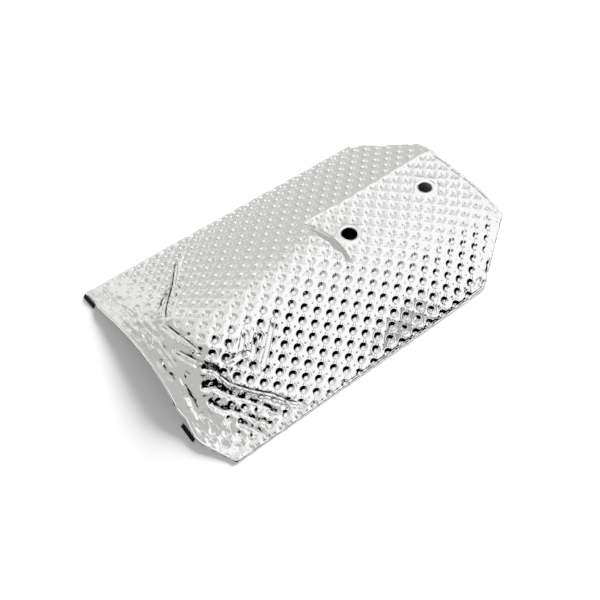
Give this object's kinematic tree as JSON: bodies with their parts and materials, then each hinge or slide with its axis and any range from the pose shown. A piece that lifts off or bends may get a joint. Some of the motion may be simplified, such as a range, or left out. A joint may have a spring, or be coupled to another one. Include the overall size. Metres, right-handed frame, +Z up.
{
  "type": "heat shield",
  "caption": "Pressed aluminium heat shield with dimple embossing, bent over an arch, with a folded rim, a sunk bolting pad and one turned-down end.",
  "frame": {"origin": "middle of the box at floor level, as the sheet lies on its two long edges", "axes": "+X along the sheet towards the pad and its two holes, +Z up, away from the hot side"},
  "size_m": [0.217, 0.1306, 0.0249],
  "materials": {
    "embossed_sheet": "satin rolled"
  },
  "bodies": {
    "root": {"heat_shield": "embossed_sheet"}
  },
  "joints": []
}
